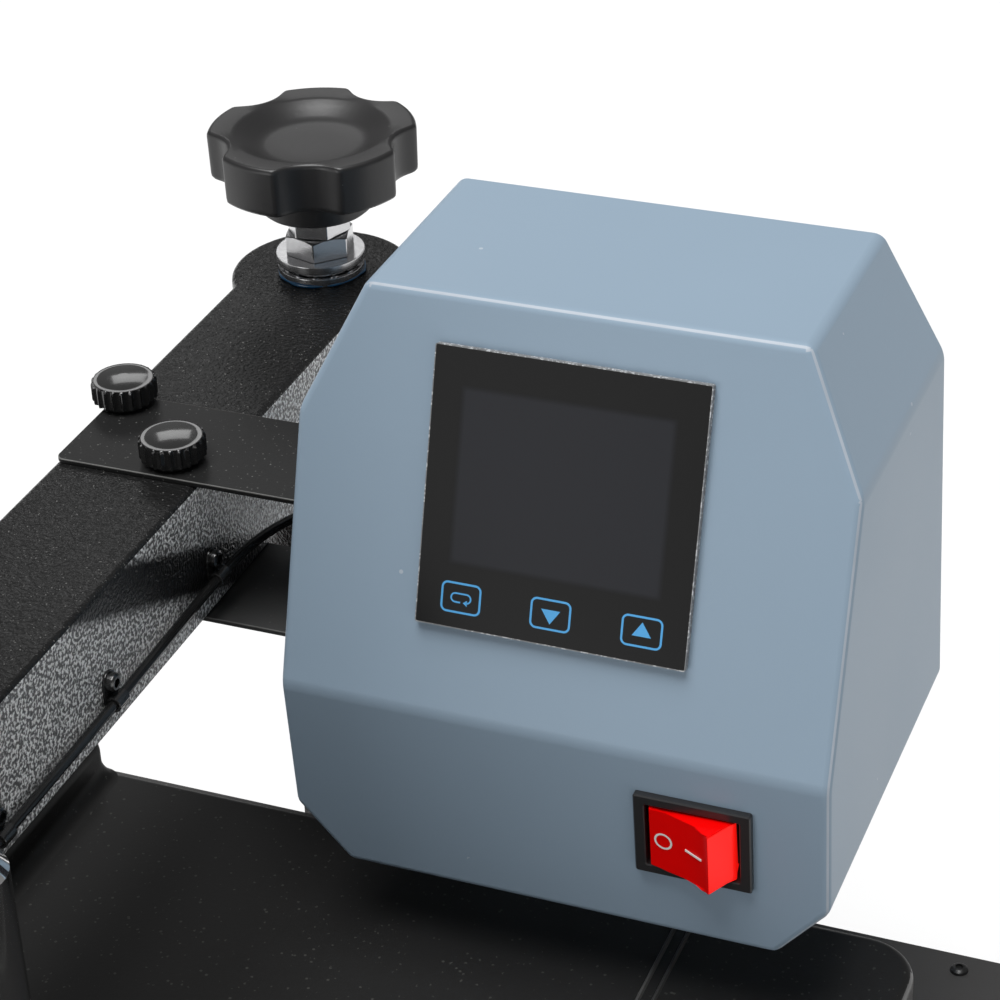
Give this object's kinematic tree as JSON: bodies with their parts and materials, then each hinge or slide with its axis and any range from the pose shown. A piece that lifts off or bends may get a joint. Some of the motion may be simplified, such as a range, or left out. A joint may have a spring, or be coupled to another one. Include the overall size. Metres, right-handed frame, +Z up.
{
  "type": "swing-away heat press",
  "caption": "Flat heat press with a swinging arm over a padded bed, a lever that drops the heated platen, a pressure screw knob and a sheet metal control box.",
  "frame": {"origin": "on the floor under the middle of the object's box", "axes": "+X to the user's right, +Y to the back, +Z up; the user stands at -Y"},
  "size_m": [0.5, 0.614, 0.6788],
  "materials": {
    "frame_paint": "satin black powder coat",
    "textured_black_paint": "semi gloss black powder coat with a fine orange peel texture",
    "bracket_paint": "satin black paint",
    "satin_black_paint": "satin black paint",
    "black_screws": "blackened steel",
    "blue_grey_paint": "satin blue grey powder coat",
    "zinc_steel": "zinc plated steel",
    "chrome_steel": "hard chrome",
    "bronze_bush": "sintered bronze",
    "cast_aluminium": "cast aluminium, machined face",
    "element_steel": "dark steel sheath",
    "mineral_board": "mineral fibre board",
    "silicone_foam": "matt silicone foam",
    "foot_rubber": "matt rubber",
    "grip_rubber": "soft black grip",
    "knob_plastic": "black phenolic plastic",
    "black_plastic": "black nylon",
    "display_panel": "black touch panel with blue key outlines",
    "red_plastic": "translucent red, white marks",
    "ivory_plastic": "ivory moulded plastic",
    "lead_sheath": "black sheath"
  },
  "bodies": {
    "base": {"base_spine": "frame_paint", "front_crossbar": "frame_paint", "rear_crossbar": "frame_paint", "tube_end_caps": "black_plastic", "rubber_feet": "foot_rubber", "foot_screws": "zinc_steel", "pedestal": "frame_paint", "bed_rails": "frame_paint", "base_bolts": "zinc_steel", "lower_plate": "frame_paint", "silicone_pad": "silicone_foam", "post": "frame_paint", "lift_spring": "zinc_steel"},
    "carriage": {"bearing_balls": "zinc_steel"},
    "knob": {"star_knob": "knob_plastic", "adjusting_screw": "zinc_steel", "screw_nuts": "zinc_steel", "upper_race": "zinc_steel"},
    "arm": {"arm_beam": "textured_black_paint", "post_sleeve": "textured_black_paint", "sleeve_bushes": "bronze_bush", "lower_race": "zinc_steel", "arm_end_cap": "black_plastic", "ram_housing": "textured_black_paint", "handle_ears": "textured_black_paint", "pivot_shaft": "zinc_steel", "bracket_top": "bracket_paint", "bracket_bottom": "bracket_paint", "control_box_shell": "blue_grey_paint", "control_box_back": "blue_grey_paint", "box_screws": "zinc_steel", "display_glass": "display_panel", "display_module": "black_plastic", "switch_bezel": "black_plastic", "relay": "black_plastic", "terminal_block": "ivory_plastic", "mains_inlet": "black_plastic", "cable_gland": "black_plastic", "cable_clips": "black_plastic", "clip_screws": "zinc_steel", "heater_lead": "lead_sheath", "heater_lead_loop": "lead_sheath", "return_spring": "zinc_steel"},
    "left_thumb_screw": {"thumb_screw_a": "knob_plastic"},
    "right_thumb_screw": {"thumb_screw_b": "knob_plastic"},
    "rocker": {"rocker": "red_plastic"},
    "platen": {"heating_plate": "cast_aluminium", "heating_element": "element_steel", "insulation_board": "mineral_board", "platen_cover": "satin_black_paint", "cover_screws": "black_screws", "terminal_box": "satin_black_paint", "hanger_plate": "textured_black_paint", "hanger_bolts": "zinc_steel", "ram": "chrome_steel", "guide_rods": "chrome_steel"},
    "handle": {"crank": "textured_black_paint", "crank_pin": "zinc_steel", "handle_lever": "textured_black_paint", "handle_grip": "grip_rubber"}
  },
  "joints": [
    {"name": "height_adjust", "type": "slide", "parent": "base", "child": "carriage", "axis": [0, 0, 1], "range_m": [0, 0.008], "deforming": ["lift_spring"]},
    {"name": "knob_turn", "type": "hinge", "parent": "carriage", "child": "knob", "pos_m": [0, 0.173, 0.36], "axis": [0, 0, 1], "range_deg": [0, 1650]},
    {"name": "swing", "type": "hinge", "parent": "carriage", "child": "arm", "pos_m": [0, 0.173, 0.3], "axis": [0, 0, 1], "continuous": true},
    {"name": "platen_drop", "type": "slide", "parent": "arm", "child": "platen", "axis": [0, 0, -1], "range_m": [0, 0.0355], "stiffness_N_per_m": 3500, "springref_m": -0.07, "deforming": ["return_spring"]},
    {"name": "handle_pull", "type": "hinge", "parent": "arm", "child": "handle", "pos_m": [0, -0.0826, 0.374], "axis": [1, 0, 0], "range_deg": [0, 80]},
    {"name": "left_thumb_turn", "type": "hinge", "parent": "arm", "child": "left_thumb_screw", "pos_m": [-0.017, 0.079, 0.345], "axis": [0, 0, 1], "continuous": true},
    {"name": "right_thumb_turn", "type": "hinge", "parent": "arm", "child": "right_thumb_screw", "pos_m": [0.0105, 0.0545, 0.345], "axis": [0, 0, 1], "continuous": true},
    {"name": "rocker_press", "type": "hinge", "parent": "arm", "child": "rocker", "pos_m": [0.1688, 0.02217, 0.27827], "axis": [0, -0.0698, 0.9976], "range_deg": [0, 28]}
  ],
  "couplings": [
    {"joint": "knob_turn", "follows": "height_adjust", "rad_per_m": 3590.4},
    {"joint": "handle_pull", "follows": "platen_drop", "rad_per_m": 39.33}
  ]
}
